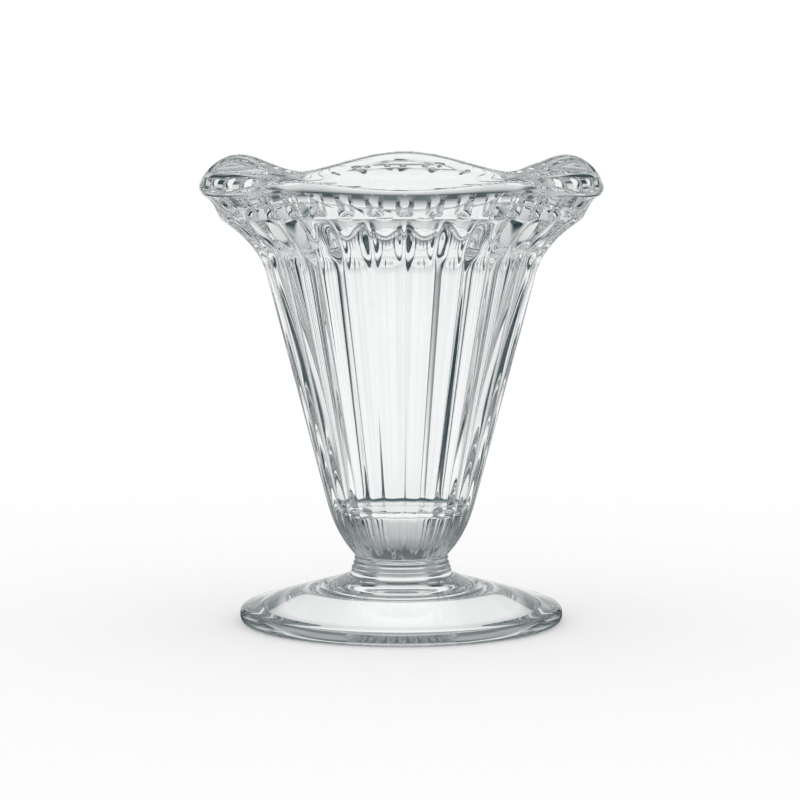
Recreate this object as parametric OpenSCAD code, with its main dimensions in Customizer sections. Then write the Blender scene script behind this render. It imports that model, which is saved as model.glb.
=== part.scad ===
/* [Bowl] */
// Height of the bowl, from its joint with the neck to the top of a petal
bowl_h = 98.4; // [90:0.1:120]
// Widest diameter, over the ridge under the petals
rim_d = 100.4; // [97:0.1:108]
// Diameter of the lip at the middle of a petal, measured along its crest
lip_d = 90; // [86:0.1:92]
// Diameter of the lip at a notch, measured along its crest
notch_lip_d = 94.2; // [92.5:0.1:96]
// Diameter of the sharp edge under the ribbed collar
collar_d = 89; // [84:0.1:92]
// Diameter of the straight body where the shoulder starts
throat_d = 66.6; // [60:0.1:72]
// Diameter of the straight body where its rounded base starts
heel_d = 37.2; // [34:0.1:42]
// Height of the rounded base above the neck joint
heel_h = 13.7; // [11:0.1:17]
// Height of the flared shoulder, from the straight body to the collar
shoulder_h = 13.5; // [10:0.1:17]
// Height of the collar, from its sharp edge to the ridge between two petals
collar_h = 8.3; // [7:0.1:11]
// Width of the small step that makes the collar's edge sharp
collar_step = 0.6; // [0.3:0.1:1]

/* [Petals] */
// Number of petals round the rim
petals = 6; // [4:1:8]
// Height of a petal above the notches beside it
petal_rise = 4.5; // [2:0.1:7]
// How far the ridge dips under the middle of a petal
ridge_dip = 2; // [1:0.1:4]
// Thickness of the glass at the rounded lip
lip_t = 5.2; // [4:0.1:5.8]
// Thickness of the rounded ridge under a petal
ridge_t = 2.4; // [2:0.1:5]

/* [Flutes and ribs] */
// Number of flutes on the body under each petal
flutes_per_petal = 5; // [4:1:6]
// Number of grooves in the collar under each petal
grooves_per_petal = 7; // [5:1:8]
// Depth of a flute at the foot of the straight body
flute_depth = 0.35; // [0.1:0.05:0.8]
// Depth of a flute at the top of the straight body
flute_throat_depth = 0.7; // [0.3:0.05:1.2]
// Depth of a flute at its rounded head in the shoulder
flute_head_depth = 1.4; // [0.8:0.1:2.2]
// Depth of a scooped groove in the collar
groove_depth = 1.3; // [0.3:0.1:1.6]

/* [Inside] */
// Depth of the nearly upright inside wall below the top of a petal
mouth_h = 10.9; // [8:0.1:12]
// Height of the inside crease above the bottom of the shoulder, where the mouth starts to flare
crease_h = 5.2; // [3:0.1:8]
// Thickness of the wall at the bottom of the shoulder, measured level
wall_t = 3.6; // [2.6:0.1:5]
// Thickness of the wall just above the rounded inside floor, measured level
heel_wall_t = 4.6; // [3:0.1:6]
// Solid glass between the neck joint and the inside floor
floor_t = 11; // [7:0.1:16]
// Diameter of the flat inside floor
floor_d = 16; // [8:0.1:20]
// Height of the rounding between the floor and the wall
floor_round_h = 7; // [5:0.1:12]

/* [Neck] */
// Diameter of the neck where the bowl meets the wafer, its narrowest place
neck_d = 23; // [19:0.1:24]
// Height of the neck wafer
wafer_h = 3.5; // [2.5:0.1:5]
// Number of fine rings round the wafer
wafer_rings = 3; // [2:1:4]
// Height of a fine ring above the waisted surface
ring_rise = 0.25; // [0.05:0.01:0.4]

/* [Foot] */
// Widest diameter of the foot
foot_d = 80.2; // [70:0.1:90]
// Height of the foot, from the table to its joint with the wafer
foot_h = 13; // [11.5:0.1:16]
// Diameter of the foot's top, where it meets the wafer
hub_d = 24.6; // [24:0.1:30]
// Diameter at which the foot's cone starts below its top
cone_top_d = 32; // [31:0.1:42]
// Height of the foot's cone at that diameter
cone_top_h = 10.9; // [8.5:0.1:11.3]
// Diameter at which the cone runs into the rounded edge
cone_foot_d = 76.4; // [64:0.1:78]
// Height of the cone at that diameter
cone_foot_h = 4.3; // [3.6:0.1:5]
// Height of the foot's widest place above the table
edge_h = 1.9; // [1.4:0.1:2.4]
// Outer diameter of the flat ring that the glass stands on
stand_d = 73.2; // [60:0.1:76]
// Width of that flat ring
stand_w = 3; // [2:0.1:5]
// Depth of the hollow under the foot
hollow_h = 4; // [2:0.1:5]

/* [Hidden] */
glass_tint = [0.82, 0.90, 0.90, 0.45];

// Roundings of the lip and the ridge
lip_round = lip_t / 2;
ridge_round = ridge_t / 2;

// Levels, from the table up
neck_z = foot_h + wafer_h;
heel_z = neck_z + heel_h;
crest_z = neck_z + bowl_h;
notch_z = crest_z - petal_rise;
ridge_z = notch_z - lip_round;
collar_z = ridge_z - collar_h;
throat_z = collar_z - shoulder_h;
floor_z = neck_z + floor_t;
floor_round_z = floor_z + floor_round_h;
crease_z = throat_z + crease_h;
mouth_z = crest_z - mouth_h;

// Radii
rim_r = rim_d / 2;
lip_r = lip_d / 2;
notch_lip_r = notch_lip_d / 2;
collar_r = collar_d / 2;
throat_r = throat_d / 2;
heel_r = heel_d / 2;
neck_r = neck_d / 2;
hub_r = hub_d / 2;

// Directions of the outline, in degrees above level, outward
wall_a = atan2(throat_z - heel_z, throat_r - heel_r);
neck_flare_a = 46;
shoulder_a = 33;
collar_low_a = 60;
collar_high_a = 25;
ridge_top_a = 25;
notch_face_a = 35;
mouth_draft_a = 2;
wafer_foot_a = -72;
cone_a = atan2(cone_foot_h - cone_top_h, (cone_foot_d - cone_top_d) / 2);

// Handle lengths of the curves, as shares of their chords
soft_share = 0.36;
full_share = 0.5;
hollow_share = 0.6;

// How far the roundings of the inside corners reach from them
mouth_reach = 2;
crease_reach = 1.5;

// Rows of points along each stretch of the outline
heel_rows = 4;
body_rows = 1;
shoulder_rows = 5;
collar_rows = 3;
ridge_rows = 3;
face_rows = 2;
lip_rows = 3;
corner_rows = 2;
floor_rows = 4;

// Sides of the pressed surface and of the smooth inside
outer_sides = petals * flutes_per_petal * grooves_per_petal;
inner_sides = petals * 14;
turned_sides = 180;

// Unit direction at an angle above level
function along(a) = [cos(a), sin(a)];

// Cubic curve that leaves p at angle a and reaches q at angle b, without its first point
function curve(p, a, q, b, n, first_share = soft_share, last_share = soft_share) =
    let (chord = norm(q - p),
         c = p + first_share * chord * along(a),
         d = q - last_share * chord * along(b))
    [for (i = [1 : n]) let (t = i / n, s = 1 - t)
        s * s * s * p + 3 * s * s * t * c + 3 * s * t * t * d + t * t * t * q];

// Straight stretch from p to q, without its first point
function straight(p, q, n) = [for (i = [1 : n]) p + (q - p) * i / n];

// Round stretch about c from angle a to angle b
function arc(c, r, a, b, n) = [for (i = [0 : n]) c + r * along(a + (b - a) * i / n)];

// Rounded corner at q between p and r that leaves both sides at a given reach from q
function corner(p, q, r, reach, n) =
    let (start = q + reach * (p - q) / norm(p - q),
         end = q + reach * (r - q) / norm(r - q))
    [for (i = [0 : n]) let (t = i / n, s = 1 - t) s * s * start + 2 * s * t * q + t * t * end];

// Outline of the pressed side from the neck to the collar's edge
neck_point = [neck_r, neck_z];
heel_point = [heel_r, heel_z];
throat_point = [throat_r, throat_z];
collar_point = [collar_r, collar_z];
lower_line = concat(
    [neck_point],
    curve(neck_point, neck_flare_a, heel_point, wall_a, heel_rows),
    straight(heel_point, throat_point, body_rows),
    curve(throat_point, wall_a, collar_point, shoulder_a, shoulder_rows)
);

// Outline of the collar, the rounded ridge, the face above it and the outside of the lip
function upper_line(ridge_centre, ridge_radius, lip_centre, face_a) =
    let (step_point = collar_point + collar_step * along(collar_low_a),
         ridge = arc(ridge_centre, ridge_radius, collar_high_a - 90, ridge_top_a, ridge_rows),
         lip = arc(lip_centre, lip_round, face_a, 90, lip_rows))
    concat([step_point],
           curve(step_point, collar_low_a, ridge[0], collar_high_a, collar_rows),
           [for (i = [1 : ridge_rows]) ridge[i]],
           curve(ridge[ridge_rows], ridge_top_a + 90, lip[0], face_a + 90, face_rows),
           [for (i = [1 : lip_rows]) lip[i]]);

// The face stands upright at the top of a petal; at a notch the ridge and the lip are one round
petal_ridge_centre = [rim_r - ridge_round, ridge_z - ridge_dip];
petal_lip_centre = [lip_r, crest_z - lip_round];
notch_lip_centre = [notch_lip_r, notch_z - lip_round];
petal_line = concat(lower_line, upper_line(petal_ridge_centre, ridge_round, petal_lip_centre, 0));
notch_line = concat(lower_line, upper_line(notch_lip_centre, lip_round, notch_lip_centre, notch_face_a));
outer_rows = len(petal_line);
collar_row = len(lower_line) - 1;

// Depth of the flute at each row: none at the neck, deepest just under the collar's edge
heel_share = [0, 0.55, 0.85, 1];
shoulder_share = [0, 0.35, 0.8, 1, 1];
throat_row = heel_rows + body_rows;
function flute_at(row) =
    row < heel_rows ? flute_depth * heel_share[row]
    : row < throat_row
        ? flute_depth + (flute_throat_depth - flute_depth) * (row - heel_rows) / body_rows
    : row < collar_row
        ? flute_throat_depth + (flute_head_depth - flute_throat_depth) * shoulder_share[row - throat_row]
    : 0;

// Share of the groove's depth at each row of the collar
collar_share = [0.5, 1, 1, 0.2];
function groove_at(row) =
    row > collar_row && row <= collar_row + collar_rows + 1
        ? groove_depth * collar_share[row - collar_row - 1] : 0;

// A row of rounded reeds with narrow valleys: 1 in a valley, 0 on a crest
function valley(a, count) = 1 - abs(sin(count * a / 2));

// A row of scooped grooves between flat lands: 1 in the middle of a groove, 0 on a land
groove_share = 0.6;
function scoop(a, count) =
    let (turn = count * a / 360, aside = 2 * abs(turn - round(turn)) / groove_share)
    max(0, 1 - aside * aside);

// Unit direction into the glass from the outline at a row
function inward(row) =
    let (t = notch_line[min(row + 1, outer_rows - 1)] - notch_line[max(row - 1, 0)])
    [-t[1], t[0]] / norm(t);

// Share of the petal at an angle: 1 in the middle of a petal, 0 in a notch
petal_power = 0.75;
function petal_share(a) = pow((1 + cos(petals * a)) / 2, petal_power);

// Point of a row at an angle from the middle of the front petal
function turned(p, a) = [p[0] * sin(a), -p[0] * cos(a), p[1]];
function outer_point(row, a) =
    let (w = petal_share(a),
         p = notch_line[row] + (petal_line[row] - notch_line[row]) * w,
         flute = flute_at(row) * valley(a, petals * flutes_per_petal),
         groove = groove_at(row) * scoop(a, petals * grooves_per_petal),
         cut = flute + groove)
    turned(p + cut * inward(row), a);

// Outline of the inside, from the lip down to the middle of the floor
wall_lean = (throat_r - heel_r) / (throat_z - heel_z);
crease_point = [throat_r - wall_t + wall_lean * crease_h, crease_z];
inner_heel_point = [heel_r - heel_wall_t + wall_lean * (floor_round_z - heel_z), floor_round_z];
inner_wall_a = atan2(inner_heel_point[1] - crease_point[1], inner_heel_point[0] - crease_point[0]);
floor_point = [floor_d / 2, floor_z];
function inner_line(lip_centre) =
    let (lip = arc(lip_centre, lip_round, 90, 180, lip_rows),
         upright_h = lip_centre[1] - mouth_z,
         mouth_point = lip[lip_rows] - [upright_h * tan(mouth_draft_a), upright_h])
    concat([for (i = [1 : lip_rows]) lip[i]],
           corner(lip[lip_rows], mouth_point, crease_point, mouth_reach, corner_rows),
           corner(mouth_point, crease_point, inner_heel_point, crease_reach, corner_rows),
           [inner_heel_point],
           curve(inner_heel_point, inner_wall_a, floor_point, -180, floor_rows, full_share, full_share));
inner_petal_line = inner_line(petal_lip_centre);
inner_notch_line = inner_line(notch_lip_centre);
inner_rows = len(inner_petal_line);
function inner_point(row, a) =
    turned(inner_notch_line[row] + (inner_petal_line[row] - inner_notch_line[row]) * petal_share(a), a);

// Faces of a band between two rings of n points that start at i and at j
function band(i, j, n) = [for (k = [0 : n - 1]) let (l = (k + 1) % n)
    each [[i + k, j + k, j + l], [i + k, j + l, i + l]]];

// Faces that join a ring of m points from i to a ring of fewer points, n, from j
function joint(i, m, j, n) = [for (k = [0 : m - 1])
    let (l = (k + 1) % m, f = floor((k + 0.5) * n / m), g = floor((k + 1.5) * n / m) % n)
    each (f == g ? [[i + k, j + f, i + l]] : [[i + k, j + f, i + l], [i + l, j + f, j + g]])];

module bowl() {
    outer_points = [for (row = [0 : outer_rows - 1], k = [0 : outer_sides - 1])
        outer_point(row, 360 * k / outer_sides)];
    inner_points = [for (row = [0 : inner_rows - 1], k = [0 : inner_sides - 1])
        inner_point(row, 360 * k / inner_sides)];
    inner_start = len(outer_points);
    centre = inner_start + len(inner_points);
    last_ring = centre - inner_sides;
    faces = concat(
        [[for (k = [0 : outer_sides - 1]) k]],
        [for (row = [0 : outer_rows - 2])
            each band(row * outer_sides, (row + 1) * outer_sides, outer_sides)],
        joint(inner_start - outer_sides, outer_sides, inner_start, inner_sides),
        [for (row = [0 : inner_rows - 2])
            each band(inner_start + row * inner_sides, inner_start + (row + 1) * inner_sides, inner_sides)],
        [for (k = [0 : inner_sides - 1]) [last_ring + k, centre, last_ring + (k + 1) % inner_sides]]
    );
    color(glass_tint) polyhedron(concat(outer_points, inner_points, [[0, 0, floor_z]]), faces);
}

// Waisted side of the wafer, from the foot up to the bowl, with its fine rings
wafer_side = curve([hub_r, foot_h], 180 + wafer_foot_a, neck_point, 90, 4 * wafer_rings);
function ringed(i) =
    wafer_side[i] + [i % 4 == 1 ? ring_rise : 0, 0];

module neck_wafer() {
    side = [for (i = [0 : len(wafer_side) - 2]) ringed(i)];
    color(glass_tint) rotate_extrude($fn = turned_sides)
        polygon(concat([[0, foot_h], [hub_r, foot_h]], side, [neck_point, [0, neck_z]]));
}

// Outline of the foot
cone_top = [cone_top_d / 2, cone_top_h];
cone_foot = [cone_foot_d / 2, cone_foot_h];
edge_point = [foot_d / 2, edge_h];
stand_outer = [stand_d / 2, 0];
stand_inner = [stand_d / 2 - stand_w, 0];
hollow_a = 140;
module foot() {
    color(glass_tint) rotate_extrude($fn = turned_sides)
        polygon(concat(
            [[0, foot_h], [hub_r, foot_h]],
            curve([hub_r, foot_h], wafer_foot_a, cone_top, cone_a, 6),
            [cone_foot],
            curve(cone_foot, cone_a, edge_point, -90, 5, full_share, full_share),
            curve(edge_point, -90, stand_outer, -180, 5, full_share, full_share),
            [stand_inner],
            curve(stand_inner, hollow_a, [0, hollow_h], 180, 12, hollow_share, hollow_share)
        ));
}

bowl();
neck_wafer();
foot();
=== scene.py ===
# %% [markdown]
# # A clear pressed-glass parfait dish
#
# The construction model holds the dish as three pieces that are fused hot: the bowl, the short neck
# wafer and the foot. Its bowl is cut into plain triangles, which is fine for testing but too coarse for
# glass, where every small step shows as a streak. Here each piece gets a fine mesh of the same shape.

# %% Load the fixed frame
import math

import bmesh
import bpy
from mathutils import Matrix, Vector


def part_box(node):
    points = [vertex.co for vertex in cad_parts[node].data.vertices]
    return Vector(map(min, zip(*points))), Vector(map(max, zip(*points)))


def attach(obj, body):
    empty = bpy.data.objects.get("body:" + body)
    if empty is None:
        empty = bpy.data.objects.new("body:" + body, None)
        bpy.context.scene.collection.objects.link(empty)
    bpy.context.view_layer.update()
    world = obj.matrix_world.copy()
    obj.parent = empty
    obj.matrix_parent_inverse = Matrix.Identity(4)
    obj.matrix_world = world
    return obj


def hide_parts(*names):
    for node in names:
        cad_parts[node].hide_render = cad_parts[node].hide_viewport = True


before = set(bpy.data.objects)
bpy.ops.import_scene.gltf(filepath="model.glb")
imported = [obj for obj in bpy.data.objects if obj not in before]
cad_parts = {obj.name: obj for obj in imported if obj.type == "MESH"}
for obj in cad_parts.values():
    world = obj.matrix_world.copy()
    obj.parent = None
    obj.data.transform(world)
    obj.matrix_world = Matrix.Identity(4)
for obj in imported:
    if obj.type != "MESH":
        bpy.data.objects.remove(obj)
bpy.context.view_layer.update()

# %% [markdown]
# ## Sizes
#
# The outer sizes come from the boxes of the three construction pieces, so the fine meshes follow them.
# What a box can't tell, such as the depth of a flute, is a named value in millimetres.

# %% Sizes from the frame
MM = 0.001
foot_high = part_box("foot")[1] / MM
wafer_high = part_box("neck_wafer")[1] / MM
bowl_low, bowl_high = [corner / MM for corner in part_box("bowl")]

RIM_R = bowl_high.y
CREST_Z = bowl_high.z
NECK_Z = bowl_low.z
HUB_R = wafer_high.x
FOOT_R = foot_high.x
FOOT_TOP_Z = foot_high.z
print(f"rim {2 * RIM_R:.1f} mm across, {CREST_Z:.1f} mm high, foot {2 * FOOT_R:.1f} mm across")

# %% Sizes of the bowl in mm
LIP_R = 45.0
NOTCH_LIP_R = 47.1
LIP_ROUND = 2.6
RIDGE_ROUND = 1.2
COLLAR_R = 44.5
COLLAR_STEP = 0.6
THROAT_R = 33.3
HEEL_R = 18.6
NECK_R = 11.5

PETALS = 6
PETAL_RISE = 4.5
PETAL_POWER = 0.75
RIDGE_DIP = 2.0
NOTCH_Z = CREST_Z - PETAL_RISE
RIDGE_Z = NOTCH_Z - LIP_ROUND
COLLAR_Z = RIDGE_Z - 8.3
THROAT_Z = COLLAR_Z - 13.5
HEEL_Z = NECK_Z + 13.7
MOUTH_Z = CREST_Z - 10.9

WALL = 3.6
HEEL_WALL = 4.6
FLOOR_Z = NECK_Z + 11.0
FLOOR_R = 8.0
FLOOR_ROUND_Z = FLOOR_Z + 7.0

FLUTES = 5 * PETALS
GROOVES = 7 * PETALS
FLUTE_DEPTH = 0.35
FLUTE_TOP_DEPTH = 0.7
FLUTE_HEAD_DEPTH = 1.4
GROOVE_DEPTH = 1.3

# %% [markdown]
# ## Drawing an outline
#
# A pressed glass is drawn as half a cross-section: radius to the right, height upward. Four small
# functions draw it: a direction, a soft curve with a given direction at each end, a straight stretch and
# a round. Each stretch has enough points to look smooth when light bends through it.

# %% Outline helpers
SOFT_SHARE = 0.36
FULL_SHARE = 0.5
HALFWAY = 0.5
UP_A = 90
DOWN_A = -90
INWARD_A = 180
RIGHT_ANGLE = 90


def along(angle):
    """Unit direction at an angle in degrees: 0 points outward and 90 points up."""
    return Vector((math.cos(math.radians(angle)), math.sin(math.radians(angle))))


def curve(start, start_angle, end, end_angle, rows, share=SOFT_SHARE):
    """Points of a cubic curve without its first one; its handles are shares of the chord."""
    chord = (end - start).length
    lead = start + along(start_angle) * chord * share
    trail = end - along(end_angle) * chord * share
    points = []
    for row in range(1, rows + 1):
        t = row / rows
        s = 1 - t
        points.append(start * s**3 + lead * 3 * s * s * t + trail * 3 * s * t * t + end * t**3)
    return points


def straight(start, end, rows):
    """Points of a straight stretch without its first one."""
    return [start.lerp(end, row / rows) for row in range(1, rows + 1)]


def corner(before, point, after, reach, rows):
    """A rounded corner that leaves its two sides a given reach from the point."""
    start = point + (before - point).normalized() * reach
    end = point + (after - point).normalized() * reach
    points = []
    for row in range(rows + 1):
        t = row / rows
        points.append(start * (1 - t) ** 2 + point * 2 * t * (1 - t) + end * t * t)
    return points


def arc(centre, radius, first_angle, last_angle, rows):
    """Points of a round stretch, with its first one."""
    step = (last_angle - first_angle) / rows
    return [centre + along(first_angle + step * row) * radius for row in range(rows + 1)]


# %% [markdown]
# ## The bowl's outline
#
# The bowl has two outlines: one through the middle of a petal and one through a notch. They have the
# same number of points, so every point round the rim is a blend of the two. The solid block under the
# inside floor, the flared shoulder, the sharp-edged collar and the round ridge are all in these outlines.

# %% Outline of the pressed side, up to the collar's edge
HEEL_ROWS = 12
BODY_ROWS = 5
SHOULDER_ROWS = 18
NECK_FLARE_A = 46
SHOULDER_A = 33

neck_point = Vector((NECK_R, NECK_Z))
heel_point = Vector((HEEL_R, HEEL_Z))
throat_point = Vector((THROAT_R, THROAT_Z))
collar_point = Vector((COLLAR_R, COLLAR_Z))
WALL_A = math.degrees(math.atan2(THROAT_Z - HEEL_Z, THROAT_R - HEEL_R))

lower_line = [Vector((0, NECK_Z)), neck_point]
lower_line += curve(neck_point, NECK_FLARE_A, heel_point, WALL_A, HEEL_ROWS)
lower_line += straight(heel_point, throat_point, BODY_ROWS)
lower_line += curve(throat_point, WALL_A, collar_point, SHOULDER_A, SHOULDER_ROWS)

# %% Outline of the collar, the ridge, the face and the lip
COLLAR_ROWS = 14
RIDGE_ROWS = 8
FACE_ROWS = 6
LIP_ROWS = 8
COLLAR_LOW_A = 60
COLLAR_HIGH_A = 25
RIDGE_TOP_A = 25
NOTCH_FACE_A = 35


def upper_line(ridge_centre, ridge_round, lip_centre, face_angle):
    """Collar, round ridge, face and the outer half of the lip."""
    step_point = collar_point + along(COLLAR_LOW_A) * COLLAR_STEP
    ridge = arc(ridge_centre, ridge_round, COLLAR_HIGH_A - RIGHT_ANGLE, RIDGE_TOP_A, RIDGE_ROWS)
    lip = arc(lip_centre, LIP_ROUND, face_angle, UP_A, LIP_ROWS)
    line = [step_point]
    line += curve(step_point, COLLAR_LOW_A, ridge[0], COLLAR_HIGH_A, COLLAR_ROWS)
    line += ridge[1:]
    line += curve(ridge[-1], RIDGE_TOP_A + RIGHT_ANGLE, lip[0], face_angle + RIGHT_ANGLE, FACE_ROWS)
    line += lip[1:]
    return line


petal_ridge = Vector((RIM_R - RIDGE_ROUND, RIDGE_Z - RIDGE_DIP))
petal_lip = Vector((LIP_R, CREST_Z - LIP_ROUND))
notch_lip = Vector((NOTCH_LIP_R, NOTCH_Z - LIP_ROUND))
petal_line = lower_line + upper_line(petal_ridge, RIDGE_ROUND, petal_lip, 0)
notch_line = lower_line + upper_line(notch_lip, LIP_ROUND, notch_lip, NOTCH_FACE_A)
outer_rows = len(petal_line)

# %% Outline of the inside, from the lip down to the middle of the floor
MOUTH_ROWS = 8
CREASE_ROWS = 6
FLOOR_ROWS = 10
MOUTH_DRAFT_A = 2
MOUTH_REACH = 2.0
CREASE_REACH = 1.5
CREASE_Z = THROAT_Z + 5.2


def inner_line(lip_centre):
    """Inner half of the lip, the upright mouth, the flare, the crease, the smooth wall and the floor."""
    lip = arc(lip_centre, LIP_ROUND, UP_A, INWARD_A, LIP_ROWS)
    upright = lip[-1].y - MOUTH_Z
    mouth = lip[-1] - Vector((upright * math.tan(math.radians(MOUTH_DRAFT_A)), upright))
    lean = (THROAT_R - HEEL_R) / (THROAT_Z - HEEL_Z)
    crease = Vector((THROAT_R - WALL + lean * (CREASE_Z - THROAT_Z), CREASE_Z))
    heel = Vector((HEEL_R - HEEL_WALL + lean * (FLOOR_ROUND_Z - HEEL_Z), FLOOR_ROUND_Z))
    floor_edge = Vector((FLOOR_R, FLOOR_Z))
    line = lip[1:]
    line += corner(lip[-1], mouth, crease, MOUTH_REACH, MOUTH_ROWS)
    line += corner(mouth, crease, heel, CREASE_REACH, CREASE_ROWS)
    line += [crease.lerp(heel, HALFWAY), heel]
    wall_angle = math.degrees(math.atan2(heel.y - crease.y, heel.x - crease.x))
    line += curve(heel, wall_angle, floor_edge, INWARD_A, FLOOR_ROWS, FULL_SHARE)
    line += [Vector((0, FLOOR_Z))]
    return line


petal_line += inner_line(petal_lip)
notch_line += inner_line(notch_lip)
print("rows of the bowl:", len(petal_line), "of them outside:", outer_rows)

# %% [markdown]
# ## Flutes and grooves
#
# The body has flutes: a row of shallow rounded reeds with narrow valleys between them. The collar has
# grooves that are gouged between flat lands. The depth of both grows and fades along the outline, so the
# flutes deepen where they run up into the shoulder, and the grooves end in round arches under the ridge.

# %% Depth of the cut at each row
HEEL_FADE_SHARE = 0.5
HEAD_SHARE = 0.6
HEAD_END_SHARE = 0.8
GROOVE_FOOT_SHARE = 0.15
GROOVE_TOP_SHARE = 0.85


def rounded_end(share, start_share):
    """1 up to a start share, then falling to 0 along a quarter round."""
    fall = max(0.0, share - start_share) / (1 - start_share)
    return math.sqrt(max(0.0, 1 - fall * fall))


def ease(share):
    """Smooth step from 0 to 1."""
    held = min(1.0, max(0.0, share))
    return held * held * (3 - 2 * held)


def flute_depths():
    """Depth of the flutes at each row, 0 past the collar's edge."""
    heel = [FLUTE_DEPTH * ease(row / HEEL_ROWS / HEEL_FADE_SHARE) for row in range(HEEL_ROWS + 1)]
    growth = (FLUTE_TOP_DEPTH - FLUTE_DEPTH) / BODY_ROWS
    body = [FLUTE_DEPTH + growth * row for row in range(1, BODY_ROWS + 1)]
    shoulder = []
    for row in range(1, SHOULDER_ROWS + 1):
        share = row / SHOULDER_ROWS
        deepening = (FLUTE_HEAD_DEPTH - FLUTE_TOP_DEPTH) * ease(share / HEAD_SHARE)
        shoulder.append((FLUTE_TOP_DEPTH + deepening) * rounded_end(share, HEAD_END_SHARE))
    depths = [0.0] + heel + body + shoulder
    return depths + [0.0] * (len(petal_line) - len(depths))


def groove_depths():
    """Depth of the grooves at each row, 0 below the collar and above it."""
    collar = []
    for row in range(COLLAR_ROWS + 1):
        share = row / COLLAR_ROWS
        start = math.sqrt(min(1.0, share / GROOVE_FOOT_SHARE))
        collar.append(GROOVE_DEPTH * start * rounded_end(share, GROOVE_TOP_SHARE))
    depths = [0.0] * len(lower_line) + collar
    return depths + [0.0] * (len(petal_line) - len(depths))


flute_depth = flute_depths()
groove_depth = groove_depths()
print(f"deepest flute {max(flute_depth):.2f} mm, deepest groove {max(groove_depth):.2f} mm")

# %% Shape round the axis
FLUTE_SOFTNESS = 0.12
GROOVE_SHARE = 0.6


def valley(angle, count, softness):
    """A row of rounded reeds: 1 in the middle of a valley, 0 on a crest."""
    wave = abs(math.sin(count * angle / 2))
    soft = math.sqrt(wave * wave + softness**2) - softness
    return 1 - soft / (math.sqrt(1 + softness**2) - softness)


def scoop(angle, count, width_share):
    """A row of gouged grooves between flat lands: 1 in the middle of a groove, 0 on a land."""
    turn = count * angle / math.tau
    aside = abs(turn - round(turn)) * 2 / width_share
    return max(0.0, 1 - aside * aside)


def petal_share(angle):
    """1 in the middle of a petal, 0 in a notch."""
    return ((1 + math.cos(PETALS * angle)) / 2) ** PETAL_POWER


def inward(row):
    """Unit direction into the glass at a row of the outside."""
    along_line = notch_line[min(row + 1, outer_rows - 1)] - notch_line[max(row - 1, 0)]
    return Vector((-along_line.y, along_line.x)).normalized()


def bowl_point(row, angle):
    """Place of a point of the bowl at a row and an angle from the middle of the front petal."""
    point = notch_line[row].lerp(petal_line[row], petal_share(angle))
    cut = flute_depth[row] * valley(angle, FLUTES, FLUTE_SOFTNESS)
    cut += groove_depth[row] * scoop(angle, GROOVES, GROOVE_SHARE)
    if cut > 0:
        point = point + inward(row) * cut
    return Vector((point.x * math.sin(angle), -point.x * math.cos(angle), point.y)) * MM


# %% [markdown]
# ## From an outline to a closed piece
#
# The outline is spun through a sixth of a turn, and that wedge is copied round the axis and merged with
# its neighbours and into a pole at each end. For the bowl, each point then moves to its place on the
# petals and flutes. Faces are smooth, and only real corners, such as the collar's edge, stay sharp.

# %% Spin and finish a piece
WEDGES = 6
SHARP_A = 35
MERGE_DISTANCE = 0.001 * MM


def spun(profile, steps):
    """Spin (radius, height) points in mm round the axis, wedge by wedge; a vertex remembers its row."""
    bm = bmesh.new()
    row_of = bm.verts.layers.int.new("row")
    chain = [bm.verts.new((0, -point.x * MM, point.y * MM)) for point in profile]
    for row, vertex in enumerate(chain):
        vertex[row_of] = row
    edges = [bm.edges.new(pair) for pair in zip(chain, chain[1:])]
    wedge_angle = math.tau / WEDGES
    bmesh.ops.spin(
        bm, geom=chain + edges, cent=(0, 0, 0), axis=(0, 0, 1), dvec=(0, 0, 0),
        angle=wedge_angle, steps=steps // WEDGES, use_merge=False, use_duplicate=False,
    )
    wedge = bm.verts[:] + bm.edges[:] + bm.faces[:]
    for turn in range(1, WEDGES):
        copied = bmesh.ops.duplicate(bm, geom=wedge)["geom"]
        vertices = [item for item in copied if isinstance(item, bmesh.types.BMVert)]
        bmesh.ops.rotate(bm, verts=vertices, matrix=Matrix.Rotation(turn * wedge_angle, 3, "Z"))
    bmesh.ops.remove_doubles(bm, verts=bm.verts, dist=MERGE_DISTANCE)
    return bm, row_of


def finished(name, bm, row_of, seam_rows, materials):
    """Mark sharp edges, give the hidden seams their own material and make the object."""
    for face in bm.faces:
        rows = {vertex[row_of] for vertex in face.verts}
        face.material_index = int(any(rows <= seam for seam in seam_rows))
    bmesh.ops.recalc_face_normals(bm, faces=bm.faces)
    for face in bm.faces:
        face.smooth = True
    for edge in bm.edges:
        edge.smooth = edge.calc_face_angle(0) < math.radians(SHARP_A)
    open_edges = sum(1 for edge in bm.edges if not edge.is_manifold)
    mesh = bpy.data.meshes.new(name)
    bm.to_mesh(mesh)
    bm.free()
    for material in materials:
        mesh.materials.append(material)
    piece = bpy.data.objects.new(name, mesh)
    bpy.context.scene.collection.objects.link(piece)
    print(name, "has", len(mesh.polygons), "faces and", open_edges, "open edges")
    return piece


# %% [markdown]
# ## Clear pressed glass
#
# The dish is soda-lime glass, pressed hot in an iron mould and fire polished: the flame melts the skin
# smooth, so there is no grain, but the surface keeps a faint waviness and the glass keeps cords, which
# are streaks of slightly different melt. That gives clean, bright edges that wobble a little. Nearly all
# of the look comes from bending light, so the shader is full transmission with a real index.

# %% Colour and node helpers
def srgb(hex_code):
    """Turn an sRGB hex colour into a shader's linear colour, by the curve of the sRGB standard."""
    channels = [int(hex_code[place : place + 2], 16) / 255 for place in (1, 3, 5)]
    linear = [c / 12.92 if c <= 0.04045 else ((c + 0.055) / 1.055) ** 2.4 for c in channels]
    return (*linear, 1.0)


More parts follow.
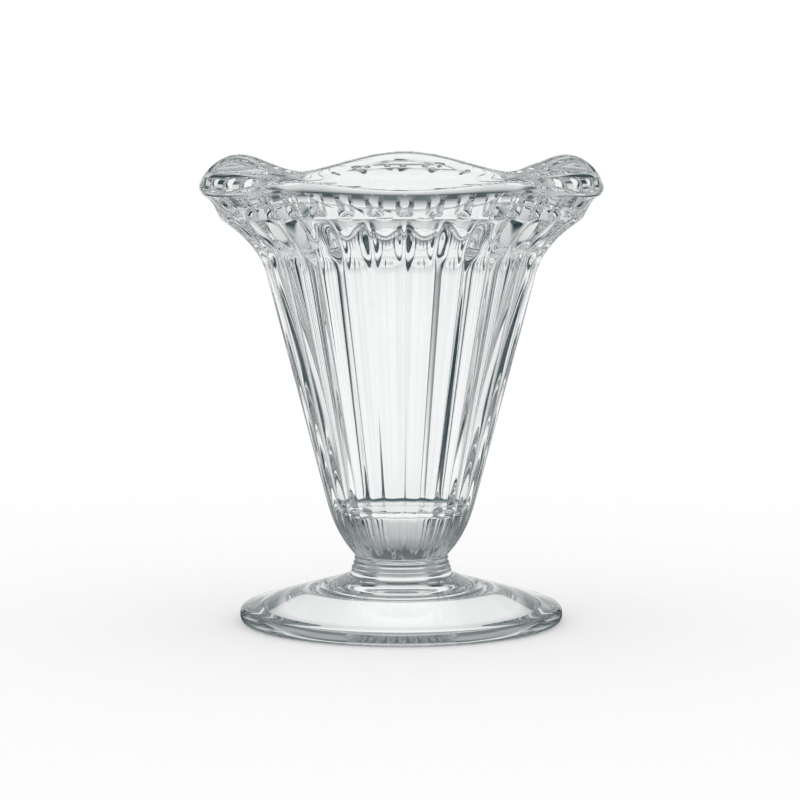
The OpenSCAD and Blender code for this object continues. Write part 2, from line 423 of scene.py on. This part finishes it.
def add_node(tree, kind, inputs=None, **settings):
    """Add a node with its settings; an input takes a value, or another node's output as a link."""
    node = tree.nodes.new(kind)
    for name, value in settings.items():
        setattr(node, name, value)
    for key, value in (inputs or {}).items():
        if isinstance(value, bpy.types.NodeSocket):
            tree.links.new(value, node.inputs[key])
        else:
            node.inputs[key].default_value = value
    return node


# %% The glass
GLASS_IOR = 1.52
MELT_HEX = "#FCFEFE"
CORD_HEX = "#FFFFFF"
CORD_MM = 14.0
CORD_SWIRL = 1.5
WAVE_DETAIL = 1.0
POLISH_MM = 2.0
POLISH_LOW = 0.4
POLISH_HIGH = 0.8
POLISH_ROUGHNESS = 0.004


def pressed_glass(name, wave_mm, wave_depth_mm):
    """Fire-polished soda-lime glass whose surface waves have a given length and depth."""
    material = bpy.data.materials.new(name)
    material.use_nodes = True
    tree = material.node_tree
    tree.nodes.clear()
    place = add_node(tree, "ShaderNodeTexCoord").outputs["Object"]
    waves = add_node(
        tree, "ShaderNodeTexNoise",
        {"Vector": place, "Scale": 1 / (wave_mm * MM), "Detail": WAVE_DETAIL},
    )
    bump = add_node(
        tree, "ShaderNodeBump",
        {"Height": waves.outputs["Fac"], "Strength": 1.0, "Distance": wave_depth_mm * MM},
    )
    cords = add_node(
        tree, "ShaderNodeTexNoise",
        {"Vector": place, "Scale": 1 / (CORD_MM * MM), "Distortion": CORD_SWIRL},
    )
    melt = add_node(
        tree, "ShaderNodeMix",
        {0: cords.outputs["Fac"], 6: srgb(MELT_HEX), 7: srgb(CORD_HEX)}, data_type="RGBA",
    )
    polish = add_node(tree, "ShaderNodeTexNoise", {"Vector": place, "Scale": 1 / (POLISH_MM * MM)})
    roughness = add_node(
        tree, "ShaderNodeMapRange",
        {
            "Value": polish.outputs["Fac"],
            "From Min": POLISH_LOW,
            "From Max": POLISH_HIGH,
            "To Min": 0.0,
            "To Max": POLISH_ROUGHNESS,
        },
    )
    glass = add_node(
        tree, "ShaderNodeBsdfPrincipled",
        {
            "Base Color": melt.outputs[2],
            "Roughness": roughness.outputs["Result"],
            "IOR": GLASS_IOR,
            "Transmission Weight": 1.0,
            "Normal": bump.outputs["Normal"],
        },
    )
    add_node(tree, "ShaderNodeOutputMaterial", {"Surface": glass.outputs["BSDF"]})
    return material


# %% [markdown]
# Where two pieces are fused hot there is no surface left inside the glass. Each piece is still a closed
# mesh, so its end face gets a material that lets everything through.

# %% The fused seam
def fused_seam():
    """The end face of a piece where it is fused to the next one: nothing of it is seen."""
    material = bpy.data.materials.new("fused_glass_seam")
    material.use_nodes = True
    tree = material.node_tree
    tree.nodes.clear()
    clear = add_node(tree, "ShaderNodeBsdfPrincipled", {"Base Color": srgb(MELT_HEX), "Alpha": 0.0})
    add_node(tree, "ShaderNodeOutputMaterial", {"Surface": clear.outputs["BSDF"]})
    return material


seam = fused_seam()
bowl_glass = pressed_glass("soda_lime_glass_pressed_fluted", wave_mm=9.0, wave_depth_mm=0.010)
neck_glass = pressed_glass("soda_lime_glass_hot_tooled", wave_mm=5.0, wave_depth_mm=0.006)
foot_glass = pressed_glass("soda_lime_glass_pressed_plain", wave_mm=12.0, wave_depth_mm=0.014)
print("glass:", [material.name for material in (bowl_glass, neck_glass, foot_glass)])

# %% [markdown]
# ## The bowl
#
# 840 steps give each of the 30 flutes 28 columns and each of the 42 grooves 20, so every flute is the
# same and no column cuts across a valley.

# %% Make the bowl
BOWL_STEPS = 840
NECK_SEAM_ROWS = {0, 1}


def make_bowl():
    """The fluted bowl with its petal rim."""
    bm, row_of = spun(notch_line, BOWL_STEPS)
    for vertex in bm.verts:
        angle = math.atan2(vertex.co.x, -vertex.co.y)
        vertex.co = bowl_point(vertex[row_of], angle)
    return finished("bowl_pressed", bm, row_of, [NECK_SEAM_ROWS], [bowl_glass, seam])


bowl = make_bowl()
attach(bowl, "root")
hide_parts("bowl")

# %% [markdown]
# ## The neck wafer
#
# A gob of hot glass joins the bowl to the foot. It is waisted, and the tool that spins it leaves three
# fine rings. They are low waves on the waist, a quarter of a millimetre high.

# %% Make the neck wafer
TURNED_STEPS = 420
WAFER_ROWS = 36
WAFER_RINGS = 3
RING_RISE = 0.25
WAFER_FOOT_A = -72


def make_neck_wafer():
    """The waisted wafer with its fine rings, from its joint with the foot up to the bowl."""
    hub = Vector((HUB_R, FOOT_TOP_Z))
    side = [hub] + curve(hub, WAFER_FOOT_A + INWARD_A, neck_point, UP_A, WAFER_ROWS)
    for row, point in enumerate(side):
        point.x += RING_RISE * math.sin(math.pi * WAFER_RINGS * row / WAFER_ROWS) ** 2
    profile = [Vector((0, FOOT_TOP_Z))] + side + [Vector((0, NECK_Z))]
    bm, row_of = spun(profile, TURNED_STEPS)
    seams = [{0, 1}, {len(profile) - 2, len(profile) - 1}]
    return finished("neck_wafer_ringed", bm, row_of, seams, [neck_glass, seam])


neck_wafer = make_neck_wafer()
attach(neck_wafer, "root")
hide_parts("neck_wafer")

# %% [markdown]
# ## The foot
#
# The foot is a shallow cone with a rounded edge. It stands on a narrow flat ring, and its underside is
# hollowed so that the glass there is nearly as thick everywhere: that is why the foot looks so clear.

# %% Make the foot
CONE_TOP = Vector((16.0, 10.9))
CONE_FOOT = Vector((38.2, 4.3))
EDGE_Z = 1.9
STAND_R = 36.6
STAND_W = 3.0
HOLLOW_H = 4.0
HOLLOW_A = 140
HOLLOW_SHARE = 0.6
HUB_ROWS = 16
CONE_ROWS = 4
EDGE_ROWS = 10
HOLLOW_ROWS = 30


def make_foot():
    """The cone, the rounded edge, the standing ring and the hollow underside."""
    hub = Vector((HUB_R, FOOT_TOP_Z))
    edge = Vector((FOOT_R, EDGE_Z))
    stand_outer = Vector((STAND_R, 0))
    stand_inner = Vector((STAND_R - STAND_W, 0))
    cone_angle = math.degrees(math.atan2(CONE_FOOT.y - CONE_TOP.y, CONE_FOOT.x - CONE_TOP.x))
    profile = [Vector((0, FOOT_TOP_Z)), hub]
    profile += curve(hub, WAFER_FOOT_A, CONE_TOP, cone_angle, HUB_ROWS)
    profile += straight(CONE_TOP, CONE_FOOT, CONE_ROWS)
    profile += curve(CONE_FOOT, cone_angle, edge, DOWN_A, EDGE_ROWS, FULL_SHARE)
    profile += curve(edge, DOWN_A, stand_outer, INWARD_A, EDGE_ROWS, FULL_SHARE)
    profile += [stand_inner]
    profile += curve(stand_inner, HOLLOW_A, Vector((0, HOLLOW_H)), INWARD_A, HOLLOW_ROWS, HOLLOW_SHARE)
    bm, row_of = spun(profile, TURNED_STEPS)
    return finished("foot_pressed", bm, row_of, [NECK_SEAM_ROWS], [foot_glass, seam])


foot = make_foot()
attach(foot, "root")
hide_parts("foot")

# %% [markdown]
# ## Studio light for glass
#
# Clear glass has no colour of its own, so it is lit by what it bends into view: wide white panels, narrow
# white strips half way between them, and dark cards in the gaps. The cards draw the dark lines that make
# clear glass readable. A panel is brightest low down, where it meets the table, and greyer towards a dark
# ceiling, which gives the collar its dark band. Panels, strips and cards repeat all round, so the dish is
# clear from every side.

# %% Where the panels, strips and cards stand, and how bright they are at each height
PANELS = 4
PANEL_EDGE = 0.20
PANEL_SOFTNESS = 0.25
STRIP_EDGE = -0.74
STRIP_SOFTNESS = 0.14
CARD_HEX = "#17343A"
PANEL_LIGHT = [
    (-75, 0.40), (-50, 0.50), (-35, 1.00), (-4, 1.00), (2, 0.84),
    (10, 0.70), (18, 0.54), (26, 0.30), (33, 0.06), (90, 0.12),
]
STRIP_LIGHT = [(-60, 0.45), (-34, 0.70), (-14, 0.85), (0, 0.70), (10, 0.25), (24, 0.10), (90, 0.20)]
CARD_LIGHT = [(-60, 0.40), (-42, 0.50), (-30, 0.00), (10, 0.00), (22, 0.25), (50, 0.35), (90, 0.20)]
LOWEST_A = -90
HIGHEST_A = 90
FIRST_STOPS = 2


def light_by_height(tree, height_share, lights):
    """Brightness at each height, from pairs of an angle above the horizon and a brightness."""
    ramp = add_node(tree, "ShaderNodeValToRGB", {"Fac": height_share})
    ramp.color_ramp.interpolation = "EASE"
    stops = ramp.color_ramp.elements
    for place, (angle, light) in enumerate(lights):
        share = (angle - LOWEST_A) / (HIGHEST_A - LOWEST_A)
        stop = stops[place] if place < FIRST_STOPS else stops.new(share)
        stop.position = share
        stop.color = (light, light, light, 1.0)
    return ramp.outputs["Color"]


# %% Colour of the studio in each direction
WHITE = (1.0, 1.0, 1.0, 1.0)


def studio_colour(tree):
    """White panels and strips with dark cards between them; the cards repeat with the cosine's wave."""
    direction = add_node(tree, "ShaderNodeTexCoord").outputs["Generated"]
    axes = add_node(tree, "ShaderNodeSeparateXYZ", {0: direction})
    azimuth = add_node(
        tree, "ShaderNodeMath", {0: axes.outputs["X"], 1: axes.outputs["Y"]}, operation="ARCTAN2"
    )
    turns = add_node(tree, "ShaderNodeMath", {0: azimuth.outputs[0], 1: PANELS}, operation="MULTIPLY")
    wave = add_node(tree, "ShaderNodeMath", {0: turns.outputs[0]}, operation="COSINE")
    panel = add_node(
        tree, "ShaderNodeMapRange",
        {
            "Value": wave.outputs[0],
            "From Min": PANEL_EDGE - PANEL_SOFTNESS,
            "From Max": PANEL_EDGE + PANEL_SOFTNESS,
        },
        interpolation_type="SMOOTHSTEP",
    )
    strip = add_node(
        tree, "ShaderNodeMapRange",
        {
            "Value": wave.outputs[0],
            "From Min": STRIP_EDGE - STRIP_SOFTNESS,
            "From Max": STRIP_EDGE + STRIP_SOFTNESS,
            "To Min": 1.0,
            "To Max": 0.0,
        },
        interpolation_type="SMOOTHSTEP",
    )
    elevation = add_node(tree, "ShaderNodeMath", {0: axes.outputs["Z"]}, operation="ARCSINE")
    height_share = add_node(
        tree, "ShaderNodeMapRange",
        {"Value": elevation.outputs[0], "From Min": -math.pi / 2, "From Max": math.pi / 2},
    ).outputs["Result"]
    panel_light = light_by_height(tree, height_share, PANEL_LIGHT)
    strip_light = light_by_height(tree, height_share, STRIP_LIGHT)
    card_light = light_by_height(tree, height_share, CARD_LIGHT)
    between = add_node(
        tree, "ShaderNodeMix",
        {0: strip.outputs["Result"], 6: card_light, 7: strip_light}, data_type="RGBA",
    )
    lit = add_node(
        tree, "ShaderNodeMix",
        {0: panel.outputs["Result"], 6: between.outputs[2], 7: panel_light}, data_type="RGBA",
    )
    studio = add_node(
        tree, "ShaderNodeMix", {0: lit.outputs[2], 6: srgb(CARD_HEX), 7: WHITE}, data_type="RGBA"
    )
    return studio.outputs[2]


# %% [markdown]
# The camera sees plain white instead of the studio, and so does light that has touched the table. Blender
# can also look for bright places in the world and aim light from there. That would light the table with
# the studio after all, so it is switched off.

# %% World
def make_world():
    """The studio for rays bent by glass, and plain white for the camera and for light off the table."""
    world = bpy.data.worlds.new("glass_studio")
    bpy.context.scene.world = world
    world.use_nodes = True
    tree = world.node_tree
    tree.nodes.clear()
    studio_light = add_node(tree, "ShaderNodeBackground", {"Color": studio_colour(tree), "Strength": 1.0})
    plain_light = add_node(tree, "ShaderNodeBackground", {"Color": WHITE, "Strength": 1.0})
    path = add_node(tree, "ShaderNodeLightPath")
    plain = add_node(
        tree, "ShaderNodeMath",
        {0: path.outputs["Is Camera Ray"], 1: path.outputs["Diffuse Depth"]},
        operation="MAXIMUM", use_clamp=True,
    )
    mix = add_node(
        tree, "ShaderNodeMixShader",
        {0: plain.outputs[0], 1: studio_light.outputs[0], 2: plain_light.outputs[0]},
    )
    add_node(tree, "ShaderNodeOutputWorld", {"Surface": mix.outputs[0]})
    world.cycles.sampling_method = "NONE"
    print(world.name, "has", PANELS, "panels and", len(tree.nodes), "nodes")


make_world()

# %% [markdown]
# ## The floor
#
# A plain pale floor carries the dish. It fades out before its edge, so no line crosses the picture, and
# it keeps the soft shadow under the foot. Seen through the glass, the table emits painted light: white
# under the foot, with a painted shadow, a dark ring round it where the foot's thick edge would keep the
# light off. Further out the studio takes over. Light that has already touched the table sees a plain
# table, so the shadow stays soft.

# %% Sizes and colours of the floor
TABLE_R = 600.0
TABLE_STEPS = 96
TABLE_DROP = 0.02
# the floor's own pale colour, also emitted as painted light under the foot for rays bent by glass
FLOOR_AND_PAINTED_LIGHT_HEX = "#FEFEFE"
# painted shadow: the dark ring round the foot that rays bent by glass see on the table
PAINTED_SHADOW_HEX = "#43595E"
# Radii in mm of three soft edges: where the painted shadow ring begins, where the studio takes over from
# the table for rays bent by glass, and where the floor fades out
TABLE_EDGES = {
    "painted_shadow_ring": (FOOT_R - 10, FOOT_R),
    "studio": (FOOT_R + 22, FOOT_R + 35),
    "faded": (150.0, 500.0),
}

# %% The table's finish, with painted light and a painted shadow for rays bent by glass
def table_finish_with_painted_light():
    """A matt white table for the camera; for rays bent by glass it emits painted light, dark in a painted
    shadow ring.
    """
    material = bpy.data.materials.new("matt_white_table_with_painted_light")
    material.use_nodes = True
    tree = material.node_tree
    tree.nodes.clear()
    place = add_node(tree, "ShaderNodeTexCoord").outputs["Object"]
    distance = add_node(tree, "ShaderNodeVectorMath", {0: place}, operation="LENGTH").outputs["Value"]
    past = {}
    for edge, (first, last) in TABLE_EDGES.items():
        past[edge] = add_node(
            tree, "ShaderNodeMapRange",
            {"Value": distance, "From Min": first * MM, "From Max": last * MM},
            interpolation_type="SMOOTHSTEP",
        ).outputs["Result"]
    gone = add_node(tree, "ShaderNodeBsdfTransparent").outputs[0]
    matt = add_node(tree, "ShaderNodeBsdfDiffuse", {"Color": srgb(FLOOR_AND_PAINTED_LIGHT_HEX)})
    seen = add_node(tree, "ShaderNodeMixShader", {0: past["faded"], 1: matt.outputs[0], 2: gone})
    # painted shadow: the emitted colour turns dark in a ring round the foot
    painted_shadow_ring = add_node(
        tree, "ShaderNodeMix",
        {0: past["painted_shadow_ring"], 6: srgb(FLOOR_AND_PAINTED_LIGHT_HEX), 7: srgb(PAINTED_SHADOW_HEX)}, data_type="RGBA",
    )
    # painted light: for rays bent by glass the table emits light, though it is no lamp
    painted_table_light = add_node(tree, "ShaderNodeEmission", {"Color": painted_shadow_ring.outputs[2]})
    bent = add_node(tree, "ShaderNodeMixShader", {0: past["studio"], 1: painted_table_light.outputs[0], 2: gone})
    path = add_node(tree, "ShaderNodeLightPath")
    bent_ray = add_node(
        tree, "ShaderNodeMath",
        {0: path.outputs["Is Transmission Ray"], 1: path.outputs["Is Glossy Ray"]}, operation="MAXIMUM",
    )
    through_glass = add_node(
        tree, "ShaderNodeMath", {0: bent_ray.outputs[0], 1: path.outputs["Diffuse Depth"]},
        operation="SUBTRACT", use_clamp=True,
    )
    mix = add_node(
        tree, "ShaderNodeMixShader", {0: through_glass.outputs[0], 1: seen.outputs[0], 2: bent.outputs[0]}
    )
    add_node(tree, "ShaderNodeOutputMaterial", {"Surface": mix.outputs[0]})
    return material


# %% Make the floor
def make_floor():
    """A round pale floor just under the foot."""
    bm = bmesh.new()
    bmesh.ops.create_circle(bm, cap_ends=True, radius=TABLE_R * MM, segments=TABLE_STEPS)
    bmesh.ops.translate(bm, verts=bm.verts, vec=(0, 0, -TABLE_DROP * MM))
    mesh = bpy.data.meshes.new("floor")
    bm.to_mesh(mesh)
    bm.free()
    mesh.materials.append(table_finish_with_painted_light())
    floor = bpy.data.objects.new("floor", mesh)
    bpy.context.scene.collection.objects.link(floor)
    print("floor", 2 * TABLE_R, "mm across")


make_floor()

# %% [markdown]
# ## Camera
#
# The photograph shows the collar's edge as a straight line and the foot as a flat ellipse, so the camera
# stands just under the rim's height and looks slightly down. Its distance comes from how flat the foot
# looks, and its lens from the width of the frame at the dish.

# %% Camera
FRAME_PX = 800
AXIS_X_PX = 401.3
TABLE_Y_PX = 622.0
MM_PER_PX = 0.2475
CAMERA_DISTANCE = 582.0
CAMERA_HEIGHT = 97.4
CAMERA_TURN_A = 1.0
SENSOR = 36.0
CLIP_END = 20


def make_camera():
    """The camera of the photograph, aimed at the middle of its frame."""
    data = bpy.data.cameras.new("camera")
    data.sensor_width = SENSOR
    data.lens = SENSOR * CAMERA_DISTANCE / (FRAME_PX * MM_PER_PX)
    data.clip_end = CLIP_END
    turn = math.radians(CAMERA_TURN_A)
    sideways = Vector((math.cos(turn), -math.sin(turn), 0))
    away = Vector((math.sin(turn), math.cos(turn), 0))
    up = Vector((0, 0, 1))
    place = up * CAMERA_HEIGHT - away * CAMERA_DISTANCE
    aim = sideways * (FRAME_PX / 2 - AXIS_X_PX) * MM_PER_PX
    aim += up * (TABLE_Y_PX - FRAME_PX / 2) * MM_PER_PX
    camera = bpy.data.objects.new("camera", data)
    camera.location = place * MM
    camera.rotation_euler = (aim - place).to_track_quat("-Z", "Y").to_euler()
    bpy.context.scene.collection.objects.link(camera)
    bpy.context.scene.camera = camera
    print("camera at", camera.location[:], "lens", round(data.lens, 1), "mm")


make_camera()

# %% [markdown]
# ## Plain colours and light through many surfaces
#
# Colours are shown as they are written, with no film look. A ray crosses two walls of glass, and inside
# the thick base and the foot it is thrown from side to side many times before it gets out. Blender stops
# it after 4 reflections unless told otherwise, and the foot then turns black in places, so the number of
# reflections is raised as well as the number of bends.

# %% View and bounces
BOUNCES = 32
bpy.context.scene.view_settings.view_transform = "Standard"
cycles = bpy.context.scene.cycles
cycles.max_bounces = BOUNCES
cycles.glossy_bounces = BOUNCES
cycles.transmission_bounces = BOUNCES
cycles.transparent_max_bounces = BOUNCES
print("a ray may be bent or reflected", BOUNCES, "times")
